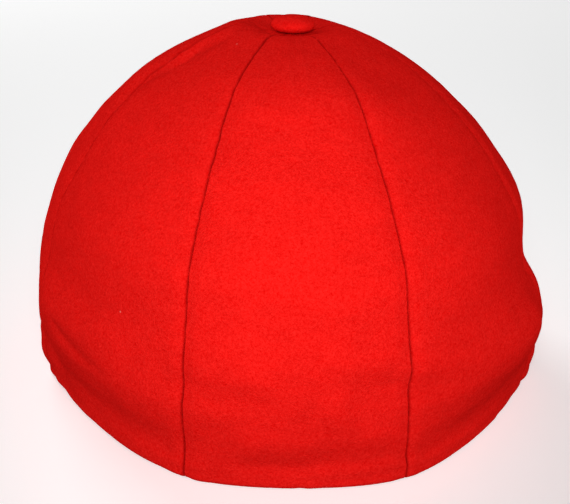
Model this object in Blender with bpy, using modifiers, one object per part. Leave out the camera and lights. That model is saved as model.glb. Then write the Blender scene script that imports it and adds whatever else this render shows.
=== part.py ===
"""School cap: a soft eight-panel crown, a covered button at its top and a short peak.

Metres, +Z up. The rim rests on Z = 0, the origin is the middle of the cap's footprint,
the peak points to -Y and the wearer's left is +X.
"""
from collections import namedtuple
from math import cos, pi, radians, sin

import bmesh
import bpy
import numpy as np

# Driving sizes of the crown
CROWN_HALF_WIDTH = 0.088
CROWN_HALF_LENGTH = 0.1012
CROWN_HEIGHT = 0.1233
CLOTH_THICKNESS = 0.002
HEM_HEIGHT = 0.004
SIDE_LEAN = 0.0023
BACK_FULLNESS = 0.0056
RIM_FLATTENING = 0.0013
FLATTENING_TOP = 0.0365
SEAM_GAP = 0.0003
SEAM_DEPTH = 0.0008
SEAM_REACH = 0.003

# Swing of the two rear side seams towards the front: size and reach in turns
SEAM_DRIFT = 0.0207
SEAM_DRIFT_REACH = 0.05

# Crown's width, as a share of its half width, where the pinch at the seams starts and is full
PINCH_START = 0.30
PINCH_FULL = 0.60

# The same width where the folds start beyond the button and are full
FOLD_START = 0.09
FOLD_FULL = 0.22

# Driving sizes of the button
BUTTON_RADIUS = 0.0076
BUTTON_THICKNESS = 0.0057
BUTTON_EDGE_HEIGHT = 0.0022
BUTTON_SEAT_RADIUS = 0.004
STEM_RADIUS = 0.0018
STEM_CLEARANCE = 0.0004
STEM_LENGTH = 0.0035

# Driving sizes of the peak
PEAK_REACH = 0.050
PEAK_HALF_ANGLE = radians(58)
PEAK_THICKNESS = 0.0026
PEAK_ARCH = 0.003
FRONT_LIFT = 0.010
LIFT_RUN_OUT = radians(20)

# Gap between pieces that touch
SEAT_GAP = 0.0003

# Middle of the head opening, from the middle of the cap's footprint
OPENING_X = 0.0007
OPENING_Y = 0.0219

# Mesh density
PANEL_COLUMNS = 10
PANEL_ROWS = 24
ROW_CROWDING = 1.3
PEAK_COLUMNS = 24
PEAK_ROWS = 6
BUTTON_STEPS = 28
BUTTON_DOME_POINTS = 7
BUTTON_EDGE_POINTS = 4
OVAL_STEPS = 1440
SLOPE_STEP = 0.0004

# Panels in order around the crown, from the back over the wearer's left
PANEL_PLACES = ("back", "back_left", "left", "front_left",
                "front", "front_right", "right", "back_right")

# Cloth: colour and roughness
WOOL_RED = (0.82, 0.020, 0.013, 1.0)
WOOL_ROUGHNESS = 0.92

# The crown's wall from its hem over its top down to the button's seat: height as a share of the
# crown above the hem, width as a share of the crown's half width and half length
Section = namedtuple("Section", "height width")
PROFILE = (
    Section(height=0.000, width=0.957),
    Section(height=0.075, width=0.961),
    Section(height=0.140, width=0.970),
    Section(height=0.210, width=0.987),
    Section(height=0.280, width=0.982),
    Section(height=0.380, width=0.940),
    Section(height=0.520, width=0.909),
    Section(height=0.660, width=0.817),
    Section(height=0.798, width=0.682),
    Section(height=0.905, width=0.525),
    Section(height=0.997, width=0.306),
    Section(height=1.022, width=0.204),
    Section(height=1.000, width=0.078),
    Section(height=0.999, width=0.000),
)

# Soft folds of the cloth: each is a ridge (+) or a dent (-) along a line on the crown, whose
# depth runs from the start's to the end's. Angles are degrees from the back towards the
# wearer's left, heights are shares of the crown's height, reach and depths of its half width.
Fold = namedtuple("Fold", "place start_angle start_height start_depth end_angle end_height end_depth reach")
FOLDS = (
    Fold("left ridge", 20.8, 0.260, 0.000, 73.7, 0.255, 0.027, 0.114),
    Fold("right ridge", -29.1, 0.260, 0.000, -78.4, 0.243, 0.063, 0.182),
    Fold("right swell", -64.4, 0.510, 0.000, -95.9, 0.511, 0.038, 0.133),
    Fold("left swell", 50.0, 0.450, 0.000, 109.5, 0.375, 0.100, 0.210),
    Fold("left shoulder", 60.0, 0.680, 0.000, 110.5, 0.637, 0.054, 0.198),
    Fold("right shoulder", -60.0, 0.640, 0.000, -122.7, 0.652, 0.054, 0.211),
    Fold("left crest", 77.8, 0.865, 0.030, 136.6, 0.828, -0.041, 0.186),
    Fold("right crest", -107.9, 1.060, -0.011, -144.0, 0.914, -0.009, 0.226),
    Fold("left corner", 67.9, 0.080, 0.000, 79.2, 0.103, 0.068, 0.154),
    Fold("right corner", -66.4, 0.080, 0.000, -90.1, 0.049, 0.113, 0.160),
    Fold("back valley left", 17.0, 0.035, -0.007, 1.0, 0.050, -0.010, 0.050),
    Fold("back valley right", -6.0, 0.055, -0.011, -18.0, 0.080, -0.013, 0.075),
    Fold("left valley", 30.0, 0.077, -0.018, 57.0, 0.110, -0.004, 0.075),
    Fold("right valley", -28.0, 0.063, -0.012, -58.2, 0.110, -0.010, 0.075),
    Fold("left overhang", 30.0, 0.320, -0.014, 66.0, 0.318, 0.025, 0.085),
    Fold("right overhang", -14.0, 0.240, -0.038, -63.0, 0.307, 0.028, 0.088),
    Fold("back dent left", 36.0, 0.300, -0.020, -2.0, 0.240, -0.028, 0.093),
    Fold("back dent right", 2.0, 0.320, -0.018, -19.0, 0.310, -0.027, 0.060),
    Fold("back bulge", 9.0, 0.130, 0.015, -14.0, 0.165, 0.002, 0.070),
    Fold("back brow left", 54.0, 0.890, 0.000, 3.5, 0.925, 0.034, 0.095),
    Fold("back brow right", -56.0, 0.890, 0.000, -5.5, 0.925, 0.032, 0.095),
    Fold("back crest left", 60.0, 1.020, 0.000, 1.6, 1.030, -0.018, 0.055),
    Fold("back crest right", -60.0, 1.020, 0.000, -3.6, 1.030, -0.018, 0.055),
)


def clear_scene():
    """Remove every object that is in the file."""
    for old in list(bpy.data.objects):
        bpy.data.objects.remove(old, do_unlink=True)


def make_material(name, colour, roughness):
    """A plain cloth material."""
    material = bpy.data.materials.new(name)
    material.use_nodes = True
    shader = material.node_tree.nodes["Principled BSDF"]
    shader.inputs["Base Color"].default_value = colour
    shader.inputs["Roughness"].default_value = roughness
    shader.inputs["Metallic"].default_value = 0.0
    return material


def smooth_step(low, high, value):
    """0 below low, 1 above high, with a soft start and end."""
    share = np.clip((value - low) / (high - low), 0.0, 1.0)
    return share * share * (3.0 - 2.0 * share)


def smooth_curve(knots, values, places):
    """Cubic through the knots that never overshoots: a tangent is the harmonic mean of its two slopes."""
    knots = np.asarray(knots, float)
    values = np.asarray(values, float)
    spans = np.diff(knots)
    slopes = np.diff(values) / spans
    before = slopes[:-1]
    after = slopes[1:]
    same_way = before * after > 0
    sums = np.where(same_way, before + after, 1.0)
    inner = np.where(same_way, 2.0 * before * after / sums, 0.0)
    tangents = np.concatenate([slopes[:1], inner, slopes[-1:]])
    span = np.clip(np.searchsorted(knots, places, side="right") - 1, 0, len(spans) - 1)
    t = (places - knots[span]) / spans[span]
    start = (1 + 2 * t) * (1 - t) ** 2 * values[span] + t * (1 - t) ** 2 * spans[span] * tangents[span]
    end = t * t * (3 - 2 * t) * values[span + 1] - t * t * (1 - t) * spans[span] * tangents[span + 1]
    return start + end


def oval_steps():
    """Angles around the crown's oval and the length of cloth between each and the next."""
    angles = np.linspace(0.0, 2 * pi, OVAL_STEPS + 1)
    across = CROWN_HALF_WIDTH * np.diff(np.sin(angles))
    along = CROWN_HALF_LENGTH * np.diff(np.cos(angles))
    return angles, np.hypot(across, along)


def oval_angle(turn):
    """Angle from the back at a share of the way round, so that each panel takes the same width of cloth."""
    angles, steps = oval_steps()
    shares = np.concatenate([[0.0], np.cumsum(steps)]) / steps.sum()
    whole = np.floor(turn)
    return np.interp(turn - whole, shares, angles) + 2 * pi * whole


def wall_section():
    """Way along the wall from the rim to the top, with the widths and heights there, and its length."""
    body = CROWN_HEIGHT - HEM_HEIGHT
    heights = np.array([0.0] + [HEM_HEIGHT + row.height * body for row in PROFILE])
    widths = np.array([PROFILE[0].width] + [row.width for row in PROFILE])
    steps = np.hypot(np.diff(widths) * CROWN_HALF_WIDTH, np.diff(heights))
    way = np.concatenate([[0.0], np.cumsum(steps)])
    return way / way[-1], widths, heights, way[-1]


def fold_depth(angle, height):
    """Sum of the folds at a place on the crown, bell-shaped across each fold's line."""
    total = np.zeros(np.shape(angle))
    across = CROWN_HALF_WIDTH * angle
    for fold in FOLDS:
        start_x = CROWN_HALF_WIDTH * radians(fold.start_angle)
        start_z = CROWN_HEIGHT * fold.start_height
        run_x = CROWN_HALF_WIDTH * radians(fold.end_angle) - start_x
        run_z = CROWN_HEIGHT * fold.end_height - start_z
        share = ((across - start_x) * run_x + (height - start_z) * run_z) / (run_x ** 2 + run_z ** 2)
        share = np.clip(share, 0.0, 1.0)
        distance = np.hypot(across - start_x - share * run_x, height - start_z - share * run_z)
        depth = fold.start_depth + (fold.end_depth - fold.start_depth) * smooth_step(0.0, 1.0, share)
        bell = np.exp(-(distance / (fold.reach * CROWN_HALF_WIDTH)) ** 2)
        total += depth * CROWN_HALF_WIDTH * bell
    return total


def front_lift(angle):
    """Height of the rim over the surface: the peak that lies under its front holds it up."""
    from_front = np.abs(angle - pi)
    corner = PEAK_THICKNESS + SEAT_GAP
    run_out = 1.0 - smooth_step(PEAK_HALF_ANGLE, PEAK_HALF_ANGLE + LIFT_RUN_OUT, from_front)
    middle = 0.5 + 0.5 * np.cos(pi * np.clip(from_front / PEAK_HALF_ANGLE, 0.0, 1.0))
    return corner * run_out + (FRONT_LIFT - corner) * middle


def seam_drift(turn):
    """Share of a turn by which the two rear side seams swing towards the front."""
    side_seam = 1.5 / len(PANEL_PLACES)
    from_back = np.mod(turn + 0.5, 1.0) - 0.5
    near_left = np.exp(-((from_back - side_seam) / SEAM_DRIFT_REACH) ** 2)
    near_right = np.exp(-((from_back + side_seam) / SEAM_DRIFT_REACH) ** 2)
    return SEAM_DRIFT * (near_left - near_right)


def crown_point(turn, rise):
    """Point of the crown's outer face, from the middle of the head opening.

    turn is the share of the way round from the back over the wearer's left, rise the share
    of the way from the rim to the top. An oval of the profile's width is moved along the
    wall's normal by the folds beyond the button, by the flattening between the seams near the
    rim and by the pinch at each seam; then it leans sideways, fills out at the back and is
    lifted in front.
    """
    turn, rise = np.broadcast_arrays(np.asarray(turn, float), np.asarray(rise, float))
    way, widths, heights, length = wall_section()
    width = smooth_curve(way, widths, rise)
    height = smooth_curve(way, heights, rise)
    step = SLOPE_STEP / length
    lower = np.clip(rise - step, 0.0, 1.0)
    upper = np.clip(rise + step, 0.0, 1.0)
    slope_out = (smooth_curve(way, widths, upper) - smooth_curve(way, widths, lower)) * CROWN_HALF_WIDTH
    slope_up = smooth_curve(way, heights, upper) - smooth_curve(way, heights, lower)
    slope = np.hypot(slope_out, slope_up)

    angle = oval_angle(turn + seam_drift(turn))
    around = np.mod(angle, 2 * pi)
    signed = np.mod(angle + pi, 2 * pi) - pi
    panels = len(PANEL_PLACES)
    outline = oval_steps()[1].sum()

    move = fold_depth(signed, np.maximum(height, HEM_HEIGHT)) * smooth_step(FOLD_START, FOLD_FULL, width)
    low_part = 1.0 - smooth_step(HEM_HEIGHT, FLATTENING_TOP, height)
    move -= RIM_FLATTENING * np.cos(2 * pi * panels * turn) * low_part
    to_seam = np.abs(np.mod(panels * turn, 1.0) - 0.5) / panels * outline * width
    move -= SEAM_DEPTH * np.exp(-(to_seam / SEAM_REACH) ** 2) * smooth_step(PINCH_START, PINCH_FULL, width)

    normal_x = CROWN_HALF_LENGTH * np.sin(angle)
    normal_y = CROWN_HALF_WIDTH * np.cos(angle)
    flat = slope_up / slope / np.hypot(normal_x, normal_y)
    body = CROWN_HEIGHT - HEM_HEIGHT
    above = np.maximum(height - HEM_HEIGHT, 0.0)
    x = width * CROWN_HALF_WIDTH * np.sin(angle) + move * normal_x * flat + SIDE_LEAN * above / body
    y = width * CROWN_HALF_LENGTH * np.cos(angle) + move * normal_y * flat
    y = y + 4 * BACK_FULLNESS * above * (CROWN_HEIGHT - height) / body ** 2
    z = height - move * slope_out / slope + front_lift(around) * (1.0 - height / CROWN_HEIGHT)
    return np.stack([x, y, z], axis=-1)


def grid_object(name, points, material, thickness):
    """A sheet through a grid of points, rows upwards and columns to the right seen from outside."""
    rows, columns = points.shape[:2]
    mesh = bpy.data.meshes.new(name)
    build = bmesh.new()
    corners = [[build.verts.new(points[row, column]) for column in range(columns)] for row in range(rows)]
    for row in range(rows - 1):
        for column in range(columns - 1):
            build.faces.new((corners[row][column], corners[row][column + 1],
                             corners[row + 1][column + 1], corners[row + 1][column]))
    build.to_mesh(mesh)
    build.free()
    mesh.materials.append(material)
    mesh.shade_smooth()
    sheet = bpy.data.objects.new(name, mesh)
    shell = sheet.modifiers.new("Cloth", "SOLIDIFY")
    shell.thickness = thickness
    shell.offset = -1.0
    shell.use_even_offset = True
    return sheet


def make_panel(place, index, material):
    """One gore of the crown, between two seams, from the rim to the button's stem."""
    outline = oval_steps()[1].sum()
    way, widths, _, length = wall_section()
    tip = 1.0 - (STEM_RADIUS + STEM_CLEARANCE) / length
    rise = tip * np.linspace(0.0, 1.0, PANEL_ROWS + 1) ** ROW_CROWDING
    width = smooth_curve(way, widths, rise)
    half = 0.5 / len(PANEL_PLACES) - 0.5 * SEAM_GAP / (outline * width)
    share = np.sin(0.5 * pi * np.linspace(-1.0, 1.0, PANEL_COLUMNS + 1))
    turn = index / len(PANEL_PLACES) + half[:, None] * share[None, :]
    points = crown_point(turn[:, ::-1], rise[:, None])
    return grid_object("crown_panel_" + place, points, material, CLOTH_THICKNESS)


def make_button(material):
    """Covered button: a domed disc with a rounded edge, on a stem between the panels' tips."""
    edge_height = SEAT_GAP + BUTTON_EDGE_HEIGHT
    dome = BUTTON_THICKNESS + SEAT_GAP - edge_height
    profile = []
    for step in range(BUTTON_DOME_POINTS + 1):
        angle = 0.5 * pi * step / BUTTON_DOME_POINTS
        profile.append((BUTTON_RADIUS * sin(angle), edge_height + dome * cos(angle)))
    for step in range(1, BUTTON_EDGE_POINTS + 1):
        angle = 0.5 * pi * step / BUTTON_EDGE_POINTS
        profile.append((BUTTON_SEAT_RADIUS + (BUTTON_RADIUS - BUTTON_SEAT_RADIUS) * cos(angle),
                        edge_height + (SEAT_GAP - edge_height) * sin(angle)))
    profile.append((STEM_RADIUS, SEAT_GAP))
    profile.append((STEM_RADIUS, SEAT_GAP - STEM_LENGTH))
    profile.append((0.0, SEAT_GAP - STEM_LENGTH))

    mesh = bpy.data.meshes.new("crown_button")
    edges = [(index, index + 1) for index in range(len(profile) - 1)]
    mesh.from_pydata([(radius, 0.0, height) for radius, height in profile], edges, [])
    mesh.materials.append(material)
    button = bpy.data.objects.new("crown_button", mesh)
    turned = button.modifiers.new("Turned", "SCREW")
    turned.steps = BUTTON_STEPS
    turned.render_steps = BUTTON_STEPS
    turned.use_merge_vertices = True
    turned.merge_threshold = 0.00001
    turned.use_smooth_shade = True
    button.location = (SIDE_LEAN, 0.0, CROWN_HEIGHT)
    return button


def make_peak(material):
    """Crescent peak between the front of the rim and half an oval that spans the peak's corners."""
    share = np.sin(0.5 * pi * np.linspace(-1.0, 1.0, PEAK_COLUMNS + 1))
    angle = pi + PEAK_HALF_ANGLE * share
    angles, steps = oval_steps()
    turns = np.concatenate([[0.0], np.cumsum(steps)]) / steps.sum()
    rim = crown_point(np.interp(angle, angles, turns), 0.0)
    inward = -np.stack([CROWN_HALF_LENGTH * np.sin(angle), CROWN_HALF_WIDTH * np.cos(angle)], axis=-1)
    inward /= np.linalg.norm(inward, axis=-1, keepdims=True)
    inner = rim[:, :2] + CLOTH_THICKNESS * inward

    corner_x = np.abs(rim[[0, -1], 0]).mean()
    corner_y = rim[[0, -1], 1].mean()
    depth = corner_y - rim[:, 1].min() + PEAK_REACH
    outer_x = -corner_x * share
    outer_y = corner_y - depth * np.sqrt(1.0 - share ** 2)

    way = np.linspace(0.0, 1.0, PEAK_ROWS + 1)[:, None]
    x = inner[:, 0] * (1.0 - way) + outer_x * way
    y = inner[:, 1] * (1.0 - way) + outer_y * way
    fall = (rim[:, 2] - SEAT_GAP) * (1.0 - way) + PEAK_THICKNESS * way
    arch = PEAK_ARCH * (1.0 - share ** 2) * np.sin(pi * way ** 2)
    points = np.stack([x, y, fall + arch], axis=-1)
    return grid_object("peak", points, material, PEAK_THICKNESS)


def build_cap():
    """All pieces of the cap in one collection."""
    clear_scene()
    collection = bpy.data.collections.new("school_cap")
    bpy.context.scene.collection.children.link(collection)
    panel_cloth = make_material("crown_wool", WOOL_RED, WOOL_ROUGHNESS)
    for index, place in enumerate(PANEL_PLACES):
        collection.objects.link(make_panel(place, index, panel_cloth))
    collection.objects.link(make_button(make_material("button_wool", WOOL_RED, WOOL_ROUGHNESS)))
    collection.objects.link(make_peak(make_material("peak_wool", WOOL_RED, WOOL_ROUGHNESS)))
    for piece in collection.objects:
        piece.location.x += OPENING_X
        piece.location.y += OPENING_Y


build_cap()
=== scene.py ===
"""School cap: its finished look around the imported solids.

Metres, +Z up. The rim rests on Z = 0, the peak points to -Y and the wearer's left is +X.
Each piece is a surface worked out from the crown's named sizes. Eight panels of wool cloth,
a covered button and a peak stand for the solids of their names, and two rows of stitches
run along the peak's edge.
"""

from collections import namedtuple
from math import pi, radians

import bmesh
import bpy
import numpy as np
from mathutils import Matrix, Vector


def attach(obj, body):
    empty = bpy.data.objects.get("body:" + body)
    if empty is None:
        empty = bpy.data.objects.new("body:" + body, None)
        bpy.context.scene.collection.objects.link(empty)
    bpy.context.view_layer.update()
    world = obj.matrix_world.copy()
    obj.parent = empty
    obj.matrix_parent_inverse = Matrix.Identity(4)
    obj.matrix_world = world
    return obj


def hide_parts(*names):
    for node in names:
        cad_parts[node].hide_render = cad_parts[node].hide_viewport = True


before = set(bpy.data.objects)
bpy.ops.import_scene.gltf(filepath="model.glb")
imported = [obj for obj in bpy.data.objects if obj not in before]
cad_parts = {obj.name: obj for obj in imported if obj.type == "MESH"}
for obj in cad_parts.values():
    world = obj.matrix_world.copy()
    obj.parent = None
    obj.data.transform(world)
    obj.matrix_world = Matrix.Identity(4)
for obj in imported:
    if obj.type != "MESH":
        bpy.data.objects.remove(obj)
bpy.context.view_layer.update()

# Waves of an unevenness: their usual length, how many are summed, and the seed of their directions
Waves = namedtuple("Waves", "length count seed")
WAVE_SPREAD = (0.7, 1.5)

# Crown, as in the solids
CROWN_HALF_WIDTH = 0.088
CROWN_HALF_LENGTH = 0.1012
CROWN_HEIGHT = 0.1233
CLOTH_THICKNESS = 0.002
HEM_HEIGHT = 0.004
SIDE_LEAN = 0.0023
BACK_FULLNESS = 0.0056
RIM_FLATTENING = 0.0013
FLATTENING_TOP = 0.0365
OPENING_X = 0.0007
OPENING_Y = 0.0219
PANELS = ("back", "back_left", "left", "front_left", "front", "front_right", "right", "back_right")

# Shares of the crown's width between which its folds and its seams' pinch grow to their full depth
FOLD_START = 0.09
FOLD_FULL = 0.22
PINCH_START = 0.30
PINCH_FULL = 0.60

# Seams: a wide pinch as in the solids, and the tight roll of the cloth into the seam
PINCH_DEPTH = 0.0008
PINCH_REACH = 0.003
SEAM_GAP = 0.00008
SEAM_ROLL = 0.0007
ROLL_SHARE = 0.30
ROLL_UNEVENNESS = 0.12
ROLL_WAVES = Waves(length=0.006, count=12, seed=11)

# The cloth stands a step proud on a seam's far side; the step grows with the room beside the seam
SEAM_STEP = 0.00015
SEAM_STEP_REACH = 0.005
SEAM_STEP_ROOM = 0.01

# A seam's course: it strays a little all along, and the rear side seams swing by a share of a turn
SEAM_WANDER = 0.00014
WANDER_WAVES = Waves(length=0.006, count=16, seed=29)
WANDER_ROUND = 0.05
SEAM_DRIFT = 0.0207
SEAM_DRIFT_REACH = 0.05

# Painted shade in a seam: its reach, and how unevenly it lies along the seam
SHADE_REACH = 0.00042
SHADE_UNEVENNESS = 0.45
SHADE_WAVES = Waves(length=0.0028, count=16, seed=31)

# Hem: the cloth is turned up inside
HEM_ROLL = 0.0018
HEM_ALLOWANCE = 0.013
ALLOWANCE_EDGE = 0.0008
THINNEST_CLOTH = 0.0004

# Unevenness of the cloth: broad and rather level from hand work, fine from the tufts.
# HAND_CROWDING is how much closer the broad waves lie along X, Y and Z.
HAND_DEPTH = 0.00022
HAND_WAVES = Waves(length=0.020, count=28, seed=3)
HAND_CROWDING = (0.7, 0.7, 1.5)
TUFT_DEPTH = 0.00003
TUFT_WAVES = Waves(length=0.0032, count=40, seed=5)
PEAK_TUFT_WAVES = Waves(length=0.0032, count=40, seed=23)

# Button. Its pleats grow from near the dome's foot to a little way under it, by shares of the dome's rows
BUTTON_RADIUS = 0.0076
BUTTON_THICKNESS = 0.0057
BUTTON_EDGE_HEIGHT = 0.0022
BUTTON_SEAT_RADIUS = 0.004
BUTTON_SHIFT = -0.0009
BUTTON_LUMP = 0.00016
LUMP_WAVES = Waves(length=0.007, count=20, seed=17)
STEM_RADIUS = 0.0018
STEM_CLEARANCE = 0.0004
STEM_LENGTH = 0.0035
PLEATS = 15
PLEAT_DEPTH = 0.00010
PLEAT_START = 0.9
PLEAT_FULL = 1.3

# Peak; its edge seam's reach is a share of its half thickness
PEAK_REACH = 0.050
PEAK_HALF_ANGLE = radians(58)
PEAK_THICKNESS = 0.0026
PEAK_ARCH = 0.003
FRONT_LIFT = 0.010
LIFT_RUN_OUT = radians(20)
SEAT_GAP = 0.0003
HEM_PRESS = 0.0002
EDGE_SEAM_DEPTH = 0.0003
EDGE_SEAM_REACH = 0.25

# Stitches of the peak, in a groove
STITCH_INSET = 0.006
STITCH_LENGTH = 0.0026
STITCH_PITCH = 0.0034
STITCH_RADIUS = 0.00028
STITCH_DIVE = 0.0004
GROOVE_DEPTH = 0.0004
GROOVE_REACH = 0.0007

# Mesh density
PANEL_COLUMNS = 148
PANEL_ROWS = 184
ROLL_ROWS = 6
EDGE_CROWDING = 2.4
PEAK_COLUMNS = 180
PEAK_ROWS = 84
PEAK_EDGE_STEPS = 12
BUTTON_COLUMNS = 90
BUTTON_ROWS = 40
STITCH_SIDES = 8
STITCH_RINGS = 7
OVAL_STEPS = 1440
SLOPE_STEP = 0.0004
SHARP_ANGLE = radians(55)
DOUBLED_POINTS = 1e-7

# The crown's wall: height as a share of the crown above the hem, width as a share of its half sizes
Section = namedtuple("Section", "height width")
PROFILE = (
    Section(height=0.000, width=0.957),
    Section(height=0.075, width=0.961),
    Section(height=0.140, width=0.970),
    Section(height=0.210, width=0.987),
    Section(height=0.280, width=0.982),
    Section(height=0.380, width=0.940),
    Section(height=0.520, width=0.909),
    Section(height=0.660, width=0.817),
    Section(height=0.798, width=0.682),
    Section(height=0.905, width=0.525),
    Section(height=0.997, width=0.306),
    Section(height=1.022, width=0.204),
    Section(height=1.000, width=0.078),
    Section(height=0.999, width=0.000),
)

# Folds: a ridge (+) or a dent (-) along a line on the crown, whose depth runs from the start's to
# the end's. Angles are degrees from the back towards the wearer's left, heights are shares of the
# crown's height, reach and depths shares of its half width. FOLDS are those of the solids.
Fold = namedtuple("Fold", "place start_angle start_height start_depth end_angle end_height end_depth reach")
FOLDS = (
    Fold("left ridge", 20.8, 0.260, 0.000, 73.7, 0.255, 0.027, 0.114),
    Fold("right ridge", -29.1, 0.260, 0.000, -78.4, 0.243, 0.063, 0.182),
    Fold("right swell", -64.4, 0.510, 0.000, -95.9, 0.511, 0.038, 0.133),
    Fold("left swell", 50.0, 0.450, 0.000, 109.5, 0.375, 0.100, 0.210),
    Fold("left shoulder", 60.0, 0.680, 0.000, 110.5, 0.637, 0.054, 0.198),
    Fold("right shoulder", -60.0, 0.640, 0.000, -122.7, 0.652, 0.054, 0.211),
    Fold("left crest", 77.8, 0.865, 0.030, 136.6, 0.828, -0.041, 0.186),
    Fold("right crest", -107.9, 1.060, -0.011, -144.0, 0.914, -0.009, 0.226),
    Fold("left corner", 67.9, 0.080, 0.000, 79.2, 0.103, 0.068, 0.154),
    Fold("right corner", -66.4, 0.080, 0.000, -90.1, 0.049, 0.113, 0.160),
    Fold("back valley left", 17.0, 0.035, -0.007, 1.0, 0.050, -0.010, 0.050),
    Fold("back valley right", -6.0, 0.055, -0.011, -18.0, 0.080, -0.013, 0.075),
    Fold("left valley", 30.0, 0.077, -0.018, 57.0, 0.110, -0.004, 0.075),
    Fold("right valley", -28.0, 0.063, -0.012, -58.2, 0.110, -0.010, 0.075),
    Fold("left overhang", 30.0, 0.320, -0.014, 66.0, 0.318, 0.025, 0.085),
    Fold("right overhang", -14.0, 0.240, -0.038, -63.0, 0.307, 0.028, 0.088),
    Fold("back dent left", 36.0, 0.300, -0.020, -2.0, 0.240, -0.028, 0.093),
    Fold("back dent right", 2.0, 0.320, -0.018, -19.0, 0.310, -0.027, 0.060),
    Fold("back bulge", 9.0, 0.130, 0.015, -14.0, 0.165, 0.002, 0.070),
    Fold("back brow left", 54.0, 0.890, 0.000, 3.5, 0.925, 0.034, 0.095),
    Fold("back brow right", -56.0, 0.890, 0.000, -5.5, 0.925, 0.032, 0.095),
    Fold("back crest left", 60.0, 1.020, 0.000, 1.6, 1.030, -0.018, 0.055),
    Fold("back crest right", -60.0, 1.020, 0.000, -3.6, 1.030, -0.018, 0.055),
)

# Shallow creases and the swelling of the hem, finer than the folds of the solids
CREASES = (
    Fold("left crease", 36, 0.210, -0.002, 61, 0.280, -0.014, 0.030),
    Fold("left fill", 39, 0.140, 0.006, 66, 0.170, 0.020, 0.070),
    Fold("left hem fill", 58, 0.050, 0.004, 76, 0.050, 0.002, 0.050),
    Fold("left corner edge", 79, 0.144, -0.009, 92, 0.060, 0.000, 0.055),
    Fold("left corner rise", 80, 0.164, 0.010, 94, 0.140, 0.000, 0.049),
    Fold("right fill", -38, 0.138, 0.005, -64, 0.150, 0.004, 0.070),
    Fold("right swell edge", -62, 0.302, 0.001, -73, 0.323, 0.002, 0.083),
    Fold("hem roll back left", 23, 0.038, 0.009, 1, 0.036, 0.015, 0.035),
    Fold("hem roll back right", -3, 0.039, 0.015, -25, 0.054, 0.007, 0.034),
    Fold("hem roll left", 25, 0.037, 0.008, 58, 0.036, 0.001, 0.024),
    Fold("hem roll right", -24, 0.038, 0.009, -57, 0.040, 0.005, 0.023),
    Fold("upper left fold top", 60, 1.010, -0.010, 70, 0.950, -0.022, 0.060),
    Fold("upper left fold foot", 72, 0.930, -0.022, 80, 0.740, -0.012, 0.065),
)


def smooth_step(low, high, value):
    """0 below low, 1 above high, with a soft start and end."""
    share = np.clip((value - low) / (high - low), 0.0, 1.0)
    return share * share * (3.0 - 2.0 * share)


def smooth_curve(knots, values, places):
    """Cubic through the knots that never overshoots: a tangent is the harmonic mean of its two slopes."""
    spans = np.diff(knots)
    slopes = np.diff(values) / spans
    before = slopes[:-1]
    after = slopes[1:]
    same_way = before * after > 0
    sums = np.where(same_way, before + after, 1.0)
    inner = np.where(same_way, 2.0 * before * after / sums, 0.0)
    tangents = np.concatenate([slopes[:1], inner, slopes[-1:]])
    span = np.clip(np.searchsorted(knots, places, side="right") - 1, 0, len(spans) - 1)
    t = (places - knots[span]) / spans[span]
    start = (1 + 2 * t) * (1 - t) ** 2 * values[span] + t * (1 - t) ** 2 * spans[span] * tangents[span]
    end = t * t * (3 - 2 * t) * values[span + 1] - t * t * (1 - t) * spans[span] * tangents[span + 1]
    return start + end


def soft_noise(points, waves):
    """Unevenness from about -1 to 1: a sum of plane waves with seeded directions, lengths and phases."""
    rng = np.random.default_rng(waves.seed)
    directions = rng.normal(size=(waves.count, 3))
    directions /= np.linalg.norm(directions, axis=1, keepdims=True)
    lengths = waves.length * rng.uniform(*WAVE_SPREAD, waves.count)
    phases = rng.uniform(0.0, 2 * pi, waves.count)
    turns = points @ (2 * pi * directions / lengths[:, None]).T + phases
    return np.cos(turns).sum(axis=-1) / np.sqrt(2.0 * waves.count)


def oval_way():
    """Angles round the crown's oval from the back, the share of its outline up to each, and its length."""
    angles = np.linspace(0.0, 2 * pi, OVAL_STEPS + 1)
    across = CROWN_HALF_WIDTH * np.diff(np.sin(angles))
    along = CROWN_HALF_LENGTH * np.diff(np.cos(angles))
    way = np.concatenate([[0.0], np.cumsum(np.hypot(across, along))])
    return angles, way / way[-1], way[-1]


def wall_way():
    """Share of the way up the wall to each profile row, with its width and height, and the wall's length."""
    body = CROWN_HEIGHT - HEM_HEIGHT
    heights = np.array([0.0] + [HEM_HEIGHT + row.height * body for row in PROFILE])
    widths = np.array([PROFILE[0].width] + [row.width for row in PROFILE])
    steps = np.hypot(np.diff(widths) * CROWN_HALF_WIDTH, np.diff(heights))
    way = np.concatenate([[0.0], np.cumsum(steps)])
    return way / way[-1], widths, heights, way[-1]


OVAL_ANGLES, OVAL_SHARES, OUTLINE = oval_way()
WALL_SHARES, WALL_WIDTHS, WALL_HEIGHTS, WALL_LENGTH = wall_way()


def oval_angle(turn):
    """Angle from the back at a share of the way round, so that each panel takes the same width of cloth."""
    whole = np.floor(turn)
    return np.interp(turn - whole, OVAL_SHARES, OVAL_ANGLES) + 2 * pi * whole


def wall_width(rise):
    """Width of the crown a share of the way up its wall, as a share of its half sizes."""
    return smooth_curve(WALL_SHARES, WALL_WIDTHS, rise)


def wall_height(rise):
    """Height of the crown a share of the way up its wall."""
    return smooth_curve(WALL_SHARES, WALL_HEIGHTS, rise)


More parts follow.
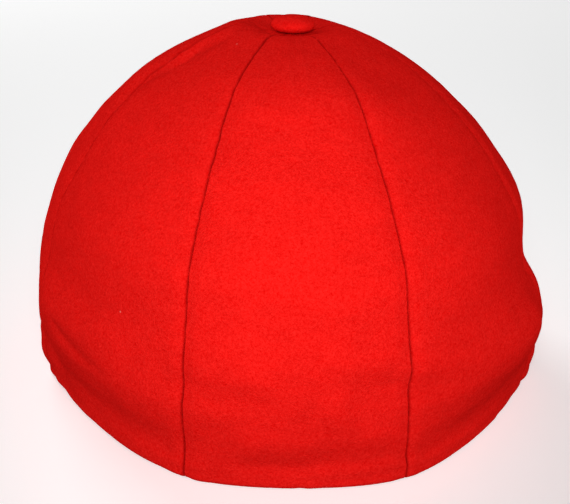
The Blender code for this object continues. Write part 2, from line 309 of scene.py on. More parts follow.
def fold_depth(angle, height, folds):
    """Sum of the folds at a place on the crown: each is a bell across its line, from its start to its end."""
    total = np.zeros(np.shape(angle))
    across = CROWN_HALF_WIDTH * angle
    for fold in folds:
        start_x = CROWN_HALF_WIDTH * radians(fold.start_angle)
        start_z = CROWN_HEIGHT * fold.start_height
        run_x = CROWN_HALF_WIDTH * radians(fold.end_angle) - start_x
        run_z = CROWN_HEIGHT * fold.end_height - start_z
        share = ((across - start_x) * run_x + (height - start_z) * run_z) / (run_x ** 2 + run_z ** 2)
        share = np.clip(share, 0.0, 1.0)
        distance = np.hypot(across - start_x - share * run_x, height - start_z - share * run_z)
        depth = fold.start_depth + (fold.end_depth - fold.start_depth) * smooth_step(0.0, 1.0, share)
        total += depth * CROWN_HALF_WIDTH * np.exp(-(distance / (fold.reach * CROWN_HALF_WIDTH)) ** 2)
    return total


def front_lift(angle):
    """Height of the rim over the surface: the peak that lies under its front holds it up."""
    from_front = np.abs(angle - pi)
    corner = PEAK_THICKNESS + SEAT_GAP
    run_out = 1.0 - smooth_step(PEAK_HALF_ANGLE, PEAK_HALF_ANGLE + LIFT_RUN_OUT, from_front)
    middle = 0.5 + 0.5 * np.cos(pi * np.clip(from_front / PEAK_HALF_ANGLE, 0.0, 1.0))
    return corner * run_out + (FRONT_LIFT - corner) * middle


def seam_drift(turn):
    """Share of a turn by which the two rear side seams swing towards the front: a bell round each."""
    side_seam = 1.5 / len(PANELS)
    from_back = np.mod(turn + 0.5, 1.0) - 0.5
    near_left = np.exp(-((from_back - side_seam) / SEAM_DRIFT_REACH) ** 2)
    near_right = np.exp(-((from_back + side_seam) / SEAM_DRIFT_REACH) ** 2)
    return SEAM_DRIFT * (near_left - near_right)


def seam_wander(turn, rise, width):
    """Share of a turn by which a hand-fed seam strays from its line: soft unevenness along the wall."""
    place = np.stack([WANDER_ROUND * np.cos(2 * pi * turn), WANDER_ROUND * np.sin(2 * pi * turn),
                      rise * WALL_LENGTH], axis=-1)
    around = OUTLINE * np.maximum(width, PINCH_START)
    return SEAM_WANDER * soft_noise(place, WANDER_WAVES) / around


def crown_point(turn, rise, proud=0.0):
    """Point of the crown, proud of its outer face along the wall's normal.

    turn is the share of the way round from the back over the wearer's left, rise the share
    of the way from the rim to the top. An oval of the profile's width is moved along the
    wall's normal by the folds beyond the button, by the flattening between the seams near the
    rim and by the pinch at each seam; then it leans sideways, fills out at the back and is
    lifted in front.
    """
    turn, rise, proud = np.broadcast_arrays(np.asarray(turn, float), np.asarray(rise, float),
                                            np.asarray(proud, float))
    width = wall_width(rise)
    height = wall_height(rise)
    step = SLOPE_STEP / WALL_LENGTH
    lower = np.clip(rise - step, 0.0, 1.0)
    upper = np.clip(rise + step, 0.0, 1.0)
    slope_out = (wall_width(upper) - wall_width(lower)) * CROWN_HALF_WIDTH
    slope_up = wall_height(upper) - wall_height(lower)
    slope = np.hypot(slope_out, slope_up)

    angle = oval_angle(turn + seam_drift(turn) + seam_wander(turn, rise, width))
    around = np.mod(angle, 2 * pi)
    from_back = np.mod(angle + pi, 2 * pi) - pi

    folds = fold_depth(from_back, np.maximum(height, HEM_HEIGHT), FOLDS + CREASES)
    move = proud + folds * smooth_step(FOLD_START, FOLD_FULL, width)
    low_part = 1.0 - smooth_step(HEM_HEIGHT, FLATTENING_TOP, height)
    move = move - RIM_FLATTENING * np.cos(2 * pi * len(PANELS) * turn) * low_part
    to_seam = np.abs(np.mod(len(PANELS) * turn, 1.0) - 0.5) / len(PANELS) * OUTLINE * width
    pinch = PINCH_DEPTH * np.exp(-(to_seam / PINCH_REACH) ** 2)
    move = move - pinch * smooth_step(PINCH_START, PINCH_FULL, width)

    normal_x = CROWN_HALF_LENGTH * np.sin(angle)
    normal_y = CROWN_HALF_WIDTH * np.cos(angle)
    flat = slope_up / slope / np.hypot(normal_x, normal_y)
    body = CROWN_HEIGHT - HEM_HEIGHT
    above = np.maximum(height - HEM_HEIGHT, 0.0)
    x = width * CROWN_HALF_WIDTH * np.sin(angle) + move * normal_x * flat + SIDE_LEAN * above / body
    y = width * CROWN_HALF_LENGTH * np.cos(angle) + move * normal_y * flat
    y = y + 4 * BACK_FULLNESS * above * (CROWN_HEIGHT - height) / body ** 2
    z = height - move * slope_out / slope + front_lift(around) * (1.0 - height / CROWN_HEIGHT)
    return np.stack([x + OPENING_X, y + OPENING_Y, z], axis=-1)


def mesh_object(name, points, faces, material):
    """A smooth mesh from points and faces, with its sharp corners marked."""
    mesh = bpy.data.meshes.new(name)
    mesh.from_pydata(points.tolist(), [], faces)
    mesh.materials.append(material)
    mesh.shade_smooth()
    mesh.set_sharp_from_angle(angle=SHARP_ANGLE)
    piece = bpy.data.objects.new(name, mesh)
    bpy.context.scene.collection.objects.link(piece)
    return piece


def finish_piece(piece, node):
    """Closes doubled points, hangs the piece under the root body, and hides the solid that it stands for, if
    any.
    """
    build = bmesh.new()
    build.from_mesh(piece.data)
    bmesh.ops.remove_doubles(build, verts=build.verts, dist=DOUBLED_POINTS)
    build.to_mesh(piece.data)
    build.free()
    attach(piece, "root")
    if node:
        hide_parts(node)


def grid_faces(rows, columns, start=0, around=False):
    """Quads of a grid that is stored row by row; around joins its last column to its first."""
    row = np.arange(rows - 1)[:, None]
    column = np.arange(columns if around else columns - 1)[None, :]
    right = (column + 1) % columns
    quads = np.stack([row * columns + column, row * columns + right,
                      (row + 1) * columns + right, (row + 1) * columns + column], axis=-1)
    return quads.reshape(-1, 4) + start


def shell_faces(rows, columns):
    """Faces of a closed shell: an outer grid, an inner grid stored after it, and strips along its rim.

    Both grids share their first row's places, where the cloth turns from its outer to its inner face.
    """
    count = rows * columns
    outer = grid_faces(rows, columns)
    inner = grid_faces(rows, columns, count)[:, ::-1]
    row = np.arange(rows - 1)
    left = row * columns
    right = left + columns - 1
    left_strip = np.stack([left, left + columns, left + columns + count, left + count], axis=-1)
    right_strip = np.stack([right, right + count, right + columns + count, right + columns], axis=-1)
    top = (rows - 1) * columns + np.arange(columns - 1)
    top_strip = np.stack([top, top + 1, top + 1 + count, top + count], axis=-1)
    return np.concatenate([outer, inner, left_strip, right_strip, top_strip])


def gore_rows():
    """Rows of a gore: their way up the wall, and how far its outer and its inner face stand out there.

    Both faces start under the hem and follow a quarter circle to their own side of its roll.
    The outer face then keeps to the wall up to the button's stem, and the inner one lies behind
    the turned-up allowance and, above that, behind a single cloth.
    """
    bend = 0.5 * pi * np.linspace(0.0, 1.0, ROLL_ROWS + 1)
    top = WALL_LENGTH - STEM_RADIUS - STEM_CLEARANCE
    wall = np.linspace(HEM_ROLL, top, PANEL_ROWS - ROLL_ROWS)[1:]
    up = np.concatenate([HEM_ROLL * (1.0 - np.cos(bend)), wall])
    outside = np.concatenate([HEM_ROLL * (np.sin(bend) - 1.0), np.zeros(len(wall))])
    doubled = 1.0 - smooth_step(HEM_ALLOWANCE, HEM_ALLOWANCE + ALLOWANCE_EDGE, wall)
    behind = -CLOTH_THICKNESS - (2 * HEM_ROLL - CLOTH_THICKNESS) * doubled
    inside = np.concatenate([-HEM_ROLL * (1.0 + np.sin(bend)), behind])
    return up, outside, inside


def gore_columns():
    """Columns of a gore, -1 at one seam and 1 at the other: a hyperbolic sine crowds them to the seams."""
    even = np.linspace(-1.0, 1.0, PANEL_COLUMNS + 1)
    return np.sign(even) * (1.0 - np.sinh(EDGE_CROWDING * (1.0 - np.abs(even))) / np.sinh(EDGE_CROWDING))


def beyond_seam(turn):
    """True where the nearest seam lies between a place and the middle of the back."""
    from_back = np.mod(turn + 0.5, 1.0) - 0.5
    nearest = np.floor(from_back * len(PANELS)) + 0.5
    return np.abs(from_back) > np.abs(nearest) / len(PANELS)


def panel_relief(turn, rise, to_seam, room):
    """Height of the cloth's fine relief over the crown's face.

    At the seam the cloth rolls in along a quarter circle, and on the seam's far side it stands
    a little proud, where the allowance lies under it; the rest is the unevenness of the wool.
    """
    points = crown_point(turn, rise)
    radius = np.minimum(SEAM_ROLL, ROLL_SHARE * room)
    radius = radius * (1.0 + ROLL_UNEVENNESS * soft_noise(points, ROLL_WAVES))
    into = np.clip(1.0 - to_seam / radius, 0.0, 1.0)
    roll = radius * (1.0 - np.sqrt(1.0 - into ** 2))
    step = SEAM_STEP * beyond_seam(turn) * np.exp(-(to_seam / SEAM_STEP_REACH) ** 2)
    step = step * smooth_step(0.0, SEAM_STEP_ROOM, room)
    hand = HAND_DEPTH * soft_noise(points * np.array(HAND_CROWDING), HAND_WAVES)
    tuft = TUFT_DEPTH * soft_noise(points, TUFT_WAVES)
    return step + hand + tuft - roll


def make_panel(place, index, material):
    """One gore of the crown: its outer face, its hem turned up inside, and its inner face.

    room is half the gore's width. The gore's edges stop a hair short of the seams, and beside
    them the cloth gets painted shade, uneven along the seam.
    """
    up, outside, inside = gore_rows()
    share = gore_columns()
    rise = (up / WALL_LENGTH)[:, None]
    room = OUTLINE * wall_width(rise) / len(PANELS) / 2
    half = (0.5 / len(PANELS)) * (1.0 - 0.5 * SEAM_GAP / room)
    turn = index / len(PANELS) - half * share
    to_seam = room * (1.0 - np.abs(share))

    proud = outside[:, None] + panel_relief(turn, rise, to_seam, room)
    outer = crown_point(turn, rise, proud)
    inner = crown_point(turn, rise, np.minimum(inside[:, None], proud - THINNEST_CLOTH))
    inner[0] = outer[0]
    points = np.concatenate([outer.reshape(-1, 3), inner.reshape(-1, 3)])
    faces = shell_faces(*outer.shape[:2])
    panel = mesh_object("panel_" + place, points, faces.tolist(), material)

    # Painted shade beside the seams, uneven along them; the wool material darkens the cloth by it
    unevenness_of_shade = 1.0 + SHADE_UNEVENNESS * soft_noise(outer, SHADE_WAVES)
    shaded = np.clip(unevenness_of_shade * np.exp(-(to_seam / SHADE_REACH) ** 2), 0.0, 1.0)
    painted_seam_shade = panel.data.attributes.new("painted_seam_shade", "FLOAT", "POINT")
    painted_seam_shade.data.foreach_set("value", np.concatenate([shaded, np.zeros(shaded.shape)]).ravel())

    finish_piece(panel, "crown_panel_" + place)


def make_button(material):
    """Covered button: a dome, a rounded edge with small pleats underneath, and its stem.

    A profile from the top's middle over the edge to the stem's end is turned about the axis,
    and the button itself sits a little to one side of its stem.
    """
    turn = np.linspace(0.0, 2 * pi, BUTTON_COLUMNS, endpoint=False)
    over = 0.5 * pi * np.linspace(0.0, 1.0, BUTTON_ROWS)
    edge = SEAT_GAP + BUTTON_EDGE_HEIGHT
    dome = BUTTON_THICKNESS + SEAT_GAP - edge
    foot = SEAT_GAP - STEM_LENGTH
    stem_radii = [STEM_RADIUS, STEM_RADIUS, 0.0]
    stem_heights = [SEAT_GAP, foot, foot]
    under_radii = BUTTON_SEAT_RADIUS + (BUTTON_RADIUS - BUTTON_SEAT_RADIUS) * np.cos(over[1:])
    under_heights = edge + (SEAT_GAP - edge) * np.sin(over[1:])
    radius = np.concatenate([BUTTON_RADIUS * np.sin(over), under_radii, stem_radii])
    height = np.concatenate([edge + dome * np.cos(over), under_heights, stem_heights])

    row = np.arange(len(radius))
    above_stem = (row < len(radius) - len(stem_radii))[:, None]
    pleated = smooth_step(PLEAT_START * BUTTON_ROWS, PLEAT_FULL * BUTTON_ROWS, row)[:, None] * above_stem
    radius = radius[:, None] + PLEAT_DEPTH * pleated * np.cos(PLEATS * turn)
    points = np.stack([SIDE_LEAN + OPENING_X + BUTTON_SHIFT * above_stem + radius * np.cos(turn),
                       OPENING_Y + radius * np.sin(turn),
                       CROWN_HEIGHT + height[:, None] + 0.0 * turn], axis=-1)
    lump = BUTTON_LUMP * soft_noise(points, LUMP_WAVES)
    points[:, :, 2] += lump * (height > edge)[:, None]
    faces = grid_faces(len(height), BUTTON_COLUMNS, around=True)[:, ::-1]
    button = mesh_object("button_cover", points.reshape(-1, 3), faces.tolist(), material)
    finish_piece(button, "crown_button")


def peak_frame():
    """Lines of the peak by share of the way across: inner, outer, and the height where the hem presses on it.

    The inner line follows the inside of the rim, and the outer one is half an ellipse from
    one end of it to the other.
    """
    share = np.sin(0.5 * pi * np.linspace(-1.0, 1.0, PEAK_COLUMNS + 1))
    angle = pi + PEAK_HALF_ANGLE * share
    rim = crown_point(np.interp(angle, OVAL_ANGLES, OVAL_SHARES), 0.0)
    inward = -np.stack([CROWN_HALF_LENGTH * np.sin(angle), CROWN_HALF_WIDTH * np.cos(angle)], axis=-1)
    inward /= np.linalg.norm(inward, axis=-1, keepdims=True)
    inner = rim[:, :2] + CLOTH_THICKNESS * inward
    half_width = abs(0.5 * (rim[0, 0] - rim[-1, 0]))
    corner_y = rim[[0, -1], 1].mean()
    depth = corner_y - rim[:, 1].min() + PEAK_REACH
    outer = np.stack([OPENING_X - half_width * share, corner_y - depth * np.sqrt(1.0 - share ** 2)], axis=-1)
    return share, inner, outer, rim[:, 2] + HEM_PRESS


def peak_top(share, inner, outer, rest, way):
    """Point of the peak's upper face a share of the way out: it falls from the rim to the edge and arches."""
    flat = inner * (1.0 - way) + outer * way
    fall = rest * (1.0 - way[..., 0]) + PEAK_THICKNESS * way[..., 0]
    arch = PEAK_ARCH * (1.0 - share ** 2) * np.sin(pi * way[..., 0] ** 2)
    return np.concatenate([flat, (fall + arch)[..., None]], axis=-1)


def make_peak(material):
    """Crescent of board and cloth: its section, a slab with a half-round edge, is carried across the front.

    A groove for the stitches follows the edge above and below, and a seam runs round its middle.
    """
    share, inner, outer, rest = peak_frame()
    reach = np.linalg.norm(outer - inner, axis=-1)
    half = 0.5 * PEAK_THICKNESS
    to_edge = (1.0 - half / np.maximum(reach, 2 * half))[None, :, None]
    ways = np.linspace(0.0, 1.0, PEAK_ROWS)[:, None, None] * to_edge
    top = peak_top(share, inner, outer, rest, ways)
    from_edge = (1.0 - ways[..., 0]) * reach
    groove = GROOVE_DEPTH * np.exp(-((from_edge - STITCH_INSET) / GROOVE_REACH) ** 2)
    groove = groove * smooth_step(STITCH_INSET, 2 * STITCH_INSET, reach)
    bottom = top.copy()
    top[..., 2] += TUFT_DEPTH * soft_noise(top, PEAK_TUFT_WAVES) - groove
    bottom[..., 2] += groove - PEAK_THICKNESS

    bend = pi * np.linspace(0.0, 1.0, PEAK_EDGE_STEPS + 1)[1:-1, None]
    outward = (outer - inner) / reach[:, None]
    seam = EDGE_SEAM_DEPTH * np.exp(-(np.cos(bend) / EDGE_SEAM_REACH) ** 2)
    side = (half * np.sin(bend) - seam)[..., None] * outward
    lift = 0.5 * (top[-1, :, 2] - bottom[-1, :, 2]) * np.cos(bend)
    edge = 0.5 * (top[-1] + bottom[-1]) + np.concatenate([side, lift[..., None]], axis=-1)

    sections = np.concatenate([top, edge, bottom[::-1]]).transpose(1, 0, 2)
    count, corners = sections.shape[:2]
    first_end = list(range(corners))[::-1]
    last_end = list(range((count - 1) * corners, count * corners))
    faces = grid_faces(count, corners, around=True).tolist() + [first_end, last_end]
    peak = mesh_object("peak_cover", sections.reshape(-1, 3), faces, material)
    finish_piece(peak, "peak")


def make_stitches(material):
    """Two rows of stitches near the peak's edge, above and below, each stitch a short bow of thread.

    A circle that shrinks to a point at both ends is carried along the bow, whose middle
    stands out of the groove and whose ends dive into the cloth.
    """
    share, inner, outer, rest = peak_frame()
    reach = np.linalg.norm(outer - inner, axis=-1)
    sewn = reach > 2 * STITCH_INSET
    ways = (1.0 - STITCH_INSET / reach[sewn])[:, None]
    row = peak_top(share[sewn], inner[sewn], outer[sewn], rest[sewn], ways)
    along = np.concatenate([[0.0], np.cumsum(np.linalg.norm(np.diff(row, axis=0), axis=1))])
    count = int(along[-1] / STITCH_PITCH)
    middles = (np.arange(count) + 0.5) * along[-1] / count
    bow = np.linspace(-1.0, 1.0, STITCH_RINGS)
    places = middles[:, None] + 0.5 * STITCH_LENGTH * bow
    line = np.stack([np.interp(places, along, row[:, axis]) for axis in range(3)], axis=-1)

    ahead = line[:, -1] - line[:, 0]
    ahead /= np.linalg.norm(ahead, axis=1, keepdims=True)
    up = np.array([0.0, 0.0, 1.0])
    aside = np.cross(ahead, up)[:, None, None, :]
    turn = 2 * pi * np.arange(STITCH_SIDES)[:, None] / STITCH_SIDES
    thick = STITCH_RADIUS * np.sqrt(1.0 - bow ** 2)[:, None, None]
    rings = line[:, :, None, :] + thick * (np.cos(turn) * aside + np.sin(turn) * up)
    sunk = (GROOVE_DEPTH - STITCH_RADIUS + STITCH_DIVE * bow ** 2)[:, None, None] * up
    stitches = np.concatenate([rings - sunk, rings - PEAK_THICKNESS * up + sunk])

    quads = grid_faces(STITCH_RINGS, STITCH_SIDES, around=True)[:, ::-1]
    starts = np.arange(len(stitches)) * STITCH_RINGS * STITCH_SIDES
    faces = (quads[None, :, :] + starts[:, None, None]).reshape(-1, 4)
    thread = mesh_object("peak_stitches", stitches.reshape(-1, 3), faces.tolist(), material)
    finish_piece(thread, None)


# Wool: dyed is the colour of the nap's tips and deep that of its hollows
Wool = namedtuple("Wool", "dyed deep nap_size nap_depth")
CLOTH = Wool(dyed=(0.74, 0.0145, 0.0114, 1.0), deep=(0.53, 0.0010, 0.0007, 1.0),
             nap_size=1800.0, nap_depth=0.0003)
# The button's wool is the crown's red painted lighter: painted light on the button
PAINTED_LIGHT_COVER = Wool(dyed=(0.82, 0.0145, 0.0114, 1.0), deep=(0.60, 0.0010, 0.0007, 1.0),
             nap_size=1900.0, nap_depth=0.0004)
THREAD = Wool(dyed=(0.64, 0.0120, 0.0090, 1.0), deep=(0.42, 0.0010, 0.0007, 1.0),
              nap_size=3200.0, nap_depth=0.0001)

# Relief of the nap and its tufts, of which the nap makes the larger share
NAP_SHARE = 0.7
NAP_STRENGTH = 0.5
TUFT_SIZE = 900.0
ROUGH_TIPS = 0.86
ROUGH_HOLLOWS = 0.98

# Level streaks and broad clouds, lighter and darker by a small share
STREAK_SIZE = 160.0
STREAK_LEVEL = 2.2
STREAK_CHANGE = 0.035
CLOUD_SIZE = 42.0
CLOUD_LEVEL = 1.6
CLOUD_CHANGE = 0.03

# Stray pale fibres, at few of the places where they could lie
LINT_SPACING = 90.0
LINT_RADIUS = 0.04
LINT_RARITY = 0.9
LINT_STRENGTH = 0.6
LINT_COLOR = (0.75, 0.30, 0.25, 1.0)

# Painted shade in a seam: the cloth there takes up to this share of a dark red
SEAM_SHADE = 0.45
SEAM_SHADE_COLOR = (0.20, 0.0, 0.0, 1.0)

# Sheen of the fibres' ends
SHEEN_WEIGHT = 0.10
SHEEN_ROUGHNESS = 0.6
SHEEN_TINT = (1.0, 0.004, 0.002, 1.0)

# Blender's noise lies mostly between these values
NOISE_LOW = 0.3
NOISE_HIGH = 0.7


def make_group(name, inputs, outputs):
    """An empty shader group with named inputs, given as name, socket type and value, and outputs."""
    group = bpy.data.node_groups.new(name, "ShaderNodeTree")
    for label, kind, value in inputs:
        socket = group.interface.new_socket(name=label, in_out="INPUT", socket_type=kind)
        socket.default_value = value
    for label, kind in outputs:
        group.interface.new_socket(name=label, in_out="OUTPUT", socket_type=kind)
    return group, group.nodes.new("NodeGroupInput"), group.nodes.new("NodeGroupOutput")


def mixed_color(nodes, link, share, first, second):
    """Mix of two colours by a share; each colour is a value or another node's output."""
    mix = nodes.new("ShaderNodeMix")
    mix.data_type = "RGBA"
    link(share, mix.inputs[0])
    for socket, color in ((mix.inputs[6], first), (mix.inputs[7], second)):
        if isinstance(color, tuple):
            socket.default_value = color
        else:
            link(color, socket)
    return mix.outputs[2]


def felted_wool_group():
    """Milled wool by Object coordinates: nap, tufts, level streaks, broad clouds and stray pale fibres."""
    group, given, result = make_group("felted_wool", [
        ("Dyed wool", "NodeSocketColor", CLOTH.dyed),
        ("Deep wool", "NodeSocketColor", CLOTH.deep),
        ("Nap size", "NodeSocketFloat", CLOTH.nap_size),
        ("Nap depth", "NodeSocketFloat", CLOTH.nap_depth),
    ], [("Color", "NodeSocketColor"), ("Roughness", "NodeSocketFloat"), ("Normal", "NodeSocketVector")])
    nodes = group.nodes
    link = group.links.new
    place = nodes.new("ShaderNodeTexCoord")

    def noise(scale, detail, roughness, distortion=0.0, level=1.0):
        """Noise whose patches are level times as long along the ground as they are high."""
        spread = nodes.new("ShaderNodeMapping")
        spread.inputs["Scale"].default_value = (1.0, 1.0, level)
        link(place.outputs["Object"], spread.inputs["Vector"])
        texture = nodes.new("ShaderNodeTexNoise")
        texture.inputs["Scale"].default_value = scale
        texture.inputs["Detail"].default_value = detail
        texture.inputs["Roughness"].default_value = roughness
        texture.inputs["Distortion"].default_value = distortion
        link(spread.outputs["Vector"], texture.inputs["Vector"])
        return texture

    def ranged(value, low, high, to_low, to_high):
        """A value carried from one range to another, and kept inside it."""
        mapped = nodes.new("ShaderNodeMapRange")
        mapped.inputs["From Min"].default_value = low
        mapped.inputs["From Max"].default_value = high
        mapped.inputs["To Min"].default_value = to_low
        mapped.inputs["To Max"].default_value = to_high
        link(value, mapped.inputs["Value"])
        return mapped.outputs["Result"]

    def spanned(texture, to_low, to_high):
        """A noise's usual values carried to a range."""
        return ranged(texture.outputs["Fac"], NOISE_LOW, NOISE_HIGH, to_low, to_high)

    def maths(operation, first, second):
        """Sum, product or comparison of two values; each is a number or another node's output."""
        node = nodes.new("ShaderNodeMath")
        node.operation = operation
        for socket, value in zip(node.inputs, (first, second)):
            if isinstance(value, float):
                socket.default_value = value
            else:
                link(value, socket)
        return node.outputs[0]

    nap = noise(scale=CLOTH.nap_size, detail=3.0, roughness=0.7, distortion=0.5)
    link(given.outputs["Nap size"], nap.inputs["Scale"])
    tufts = noise(scale=TUFT_SIZE, detail=2.0, roughness=0.6, distortion=0.3)
    streaks = noise(scale=STREAK_SIZE, detail=2.0, roughness=0.5, level=STREAK_LEVEL)
    clouds = noise(scale=CLOUD_SIZE, detail=2.0, roughness=0.5, level=CLOUD_LEVEL)
    relief = maths("ADD", maths("MULTIPLY", spanned(nap, 0.0, 1.0), NAP_SHARE),
                   maths("MULTIPLY", spanned(tufts, 0.0, 1.0), 1.0 - NAP_SHARE))

    worn = nodes.new("ShaderNodeHueSaturation")
    dyed = mixed_color(nodes, link, relief, given.outputs["Deep wool"], given.outputs["Dyed wool"])
    uneven = maths("MULTIPLY", spanned(streaks, 1.0 - STREAK_CHANGE, 1.0 + STREAK_CHANGE),
                   spanned(clouds, 1.0 - CLOUD_CHANGE, 1.0 + CLOUD_CHANGE))
    link(dyed, worn.inputs["Color"])
    link(uneven, worn.inputs["Value"])

    lint = nodes.new("ShaderNodeTexVoronoi")
    lint.inputs["Scale"].default_value = LINT_SPACING
    link(place.outputs["Object"], lint.inputs["Vector"])
    chance = nodes.new("ShaderNodeSeparateColor")
    link(lint.outputs["Color"], chance.inputs["Color"])
    speck = maths("MULTIPLY", ranged(lint.outputs["Distance"], 0.0, LINT_RADIUS, 1.0, 0.0),
                  maths("GREATER_THAN", chance.outputs[0], LINT_RARITY))
    shown = maths("MULTIPLY", speck, LINT_STRENGTH)
    flecked = mixed_color(nodes, link, shown, worn.outputs["Color"], LINT_COLOR)
    link(flecked, result.inputs["Color"])

    link(ranged(relief, 0.0, 1.0, ROUGH_HOLLOWS, ROUGH_TIPS), result.inputs["Roughness"])
    raised = nodes.new("ShaderNodeBump")
    raised.inputs["Strength"].default_value = NAP_STRENGTH
    link(given.outputs["Nap depth"], raised.inputs["Distance"])
    link(relief, raised.inputs["Height"])
    link(raised.outputs["Normal"], result.inputs["Normal"])
    return group


def wool_material(name, group, wool):
    """Wool cloth: the felted group on a Principled shader with a soft, short sheen, and painted shade inside
    a seam.
    """
    material = bpy.data.materials.new(name)
    material.use_nodes = True
    nodes = material.node_tree.nodes
    link = material.node_tree.links.new
    shader = nodes["Principled BSDF"]
    shader.inputs["Specular IOR Level"].default_value = 0.0
    shader.inputs["Sheen Weight"].default_value = SHEEN_WEIGHT
    shader.inputs["Sheen Roughness"].default_value = SHEEN_ROUGHNESS
    shader.inputs["Sheen Tint"].default_value = SHEEN_TINT
    cloth = nodes.new("ShaderNodeGroup")
    cloth.node_tree = group
    cloth.inputs["Dyed wool"].default_value = wool.dyed
    cloth.inputs["Deep wool"].default_value = wool.deep
    cloth.inputs["Nap size"].default_value = wool.nap_size
    cloth.inputs["Nap depth"].default_value = wool.nap_depth
    # Painted shade of the seams, mixed into the base colour
    painted_seam_shade = nodes.new("ShaderNodeAttribute")
    painted_seam_shade.attribute_name = "painted_seam_shade"
    shade = nodes.new("ShaderNodeMapRange")
    shade.inputs["To Max"].default_value = SEAM_SHADE
    link(painted_seam_shade.outputs["Fac"], shade.inputs["Value"])
    color = mixed_color(nodes, link, shade.outputs["Result"], cloth.outputs["Color"], SEAM_SHADE_COLOR)
    link(color, shader.inputs["Base Color"])
    link(cloth.outputs["Roughness"], shader.inputs["Roughness"])
    link(cloth.outputs["Normal"], shader.inputs["Normal"])
    return material


# Camera, from the photo: it looks at the crown from behind, a little above. Its angles are radians.
PHOTO_WIDTH = 570
PHOTO_HEIGHT = 504
FOCAL_PIXELS = 1120
AXIS_PIXEL_X = 290.4
AXIS_PIXEL_Y = 245.1
SENSOR_WIDTH = 36.0
NEAREST_SEEN = 0.01
CAMERA_DISTANCE = 0.4177
CAMERA_LIFT = 0.3637
CAMERA_SWING = 0.0417
CAMERA_ROLL = -0.0295
TARGET_HEIGHT = 0.044


def make_camera():
    """Camera aimed at the crown's middle, swung, lifted and rolled as the photo's was."""
    target = Vector((OPENING_X, OPENING_Y, TARGET_HEIGHT))
    away = Vector((np.sin(CAMERA_SWING) * np.cos(CAMERA_LIFT), np.cos(CAMERA_SWING) * np.cos(CAMERA_LIFT),
                   np.sin(CAMERA_LIFT)))
    level = (-away).cross(Vector((0.0, 0.0, 1.0))).normalized()
    upright = level.cross(-away)
    right = level * np.cos(CAMERA_ROLL) - upright * np.sin(CAMERA_ROLL)
    up = upright * np.cos(CAMERA_ROLL) + level * np.sin(CAMERA_ROLL)
    place = Matrix((right, up, away)).transposed().to_4x4()
    place.translation = target + away * CAMERA_DISTANCE
    lens = bpy.data.cameras.new("camera")
    lens.sensor_width = SENSOR_WIDTH
    lens.lens = FOCAL_PIXELS * SENSOR_WIDTH / PHOTO_WIDTH
    lens.shift_x = (PHOTO_WIDTH / 2 - AXIS_PIXEL_X) / PHOTO_WIDTH
    lens.shift_y = (AXIS_PIXEL_Y - PHOTO_HEIGHT / 2) / PHOTO_WIDTH
    lens.clip_start = NEAREST_SEEN
    camera = bpy.data.objects.new("camera", lens)
    camera.matrix_world = place
    bpy.context.scene.collection.objects.link(camera)
    bpy.context.scene.camera = camera


# Floor
FLOOR_RADIUS = 4.0
FLOOR_SIDES = 96
PAPER_WHITE = (0.95, 0.95, 0.95, 1.0)
PAPER_ROUGHNESS = 0.9
PAPER_GLOW = 0.30
WHITE = (1.0, 1.0, 1.0, 1.0)

# Light round the horizon and overhead, and how steep a look up or down meets the overhead's
HORIZON_LIGHT = 1.04
ZENITH_LIGHT = 0.03
ZENITH_START = 0.9

# Lamps
FRONT_PLACE = (0.02, 0.50, 0.27)
FRONT_TARGET = (0.0, 0.10, 0.086)
FRONT_WATTS = 9.6
FRONT_RADIUS = 0.07
FRONT_CONE = radians(40)
FRONT_BLEND = 1.0
OVERHEAD_PLACE = (1.3, -2.0, 1.55)
OVERHEAD_TARGET = (OPENING_X, OPENING_Y, 0.0)
OVERHEAD_WATTS = 31.0
OVERHEAD_SIZE = 1.3


def make_light(name, kind, place, target, watts):
    """A lamp of a kind at a place, turned to its target; the camera doesn't see the lamp itself."""
    lamp = bpy.data.lights.new(name, kind)
    lamp.energy = watts
    light = bpy.data.objects.new(name, lamp)
    light.location = place
    light.rotation_euler = (Vector(target) - Vector(place)).to_track_quat("-Z", "Y").to_euler()
    light.visible_camera = False
    bpy.context.scene.collection.objects.link(light)
    return lamp


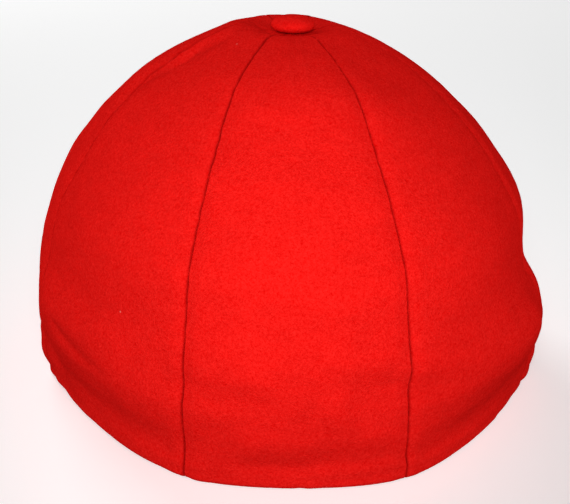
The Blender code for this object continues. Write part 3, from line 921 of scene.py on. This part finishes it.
def make_floor():
    """Round sheet of white paper that glows a little and throws no light back on the cap."""
    turn = np.linspace(0.0, 2 * pi, FLOOR_SIDES, endpoint=False)
    rim = np.stack([FLOOR_RADIUS * np.cos(turn), FLOOR_RADIUS * np.sin(turn), 0.0 * turn], axis=-1)
    paper = bpy.data.materials.new("floor_paper")
    paper.use_nodes = True
    shader = paper.node_tree.nodes["Principled BSDF"]
    shader.inputs["Base Color"].default_value = PAPER_WHITE
    shader.inputs["Roughness"].default_value = PAPER_ROUGHNESS
    shader.inputs["Emission Color"].default_value = WHITE
    shader.inputs["Emission Strength"].default_value = PAPER_GLOW
    floor = mesh_object("floor", rim, [list(range(FLOOR_SIDES))], paper)
    floor.visible_diffuse = False


def make_studio():
    """Soft white light from all round, strongest at the horizon and weakest straight up and down."""
    world = bpy.data.worlds.new("studio")
    world.use_nodes = True
    nodes = world.node_tree.nodes
    link = world.node_tree.links.new
    way = nodes.new("ShaderNodeTexCoord")
    parts = nodes.new("ShaderNodeSeparateXYZ")
    steepness = nodes.new("ShaderNodeMath")
    steepness.operation = "ABSOLUTE"
    band = nodes.new("ShaderNodeMapRange")
    band.interpolation_type = "SMOOTHSTEP"
    band.inputs["From Max"].default_value = ZENITH_START
    band.inputs["To Min"].default_value = HORIZON_LIGHT
    band.inputs["To Max"].default_value = ZENITH_LIGHT
    link(way.outputs["Generated"], parts.inputs["Vector"])
    link(parts.outputs["Z"], steepness.inputs[0])
    link(steepness.outputs["Value"], band.inputs["Value"])
    link(band.outputs["Result"], nodes["Background"].inputs["Strength"])
    nodes["Background"].inputs["Color"].default_value = WHITE
    bpy.context.scene.world = world
    bpy.context.scene.view_settings.view_transform = "Standard"


def make_lamps():
    """A soft spot from the camera's side, aimed at the crown, and a broad lamp above and beyond the peak."""
    front = make_light("front_light", "SPOT", FRONT_PLACE, FRONT_TARGET, FRONT_WATTS)
    front.shadow_soft_size = FRONT_RADIUS
    front.spot_size = FRONT_CONE
    front.spot_blend = FRONT_BLEND
    overhead = make_light("overhead_light", "AREA", OVERHEAD_PLACE, OVERHEAD_TARGET, OVERHEAD_WATTS)
    overhead.shape = "SQUARE"
    overhead.size = OVERHEAD_SIZE


felted_wool = felted_wool_group()
crown_wool = wool_material("crown_wool_cloth", felted_wool, CLOTH)
button_wool = wool_material("button_wool_cloth", felted_wool, PAINTED_LIGHT_COVER)
peak_wool = wool_material("peak_wool_cloth", felted_wool, CLOTH)
stitch_thread = wool_material("stitch_thread", felted_wool, THREAD)

for index, place in enumerate(PANELS):
    make_panel(place, index, crown_wool)
make_button(button_wool)
make_peak(peak_wool)
make_stitches(stitch_thread)
make_camera()
make_floor()
make_studio()
make_lamps()
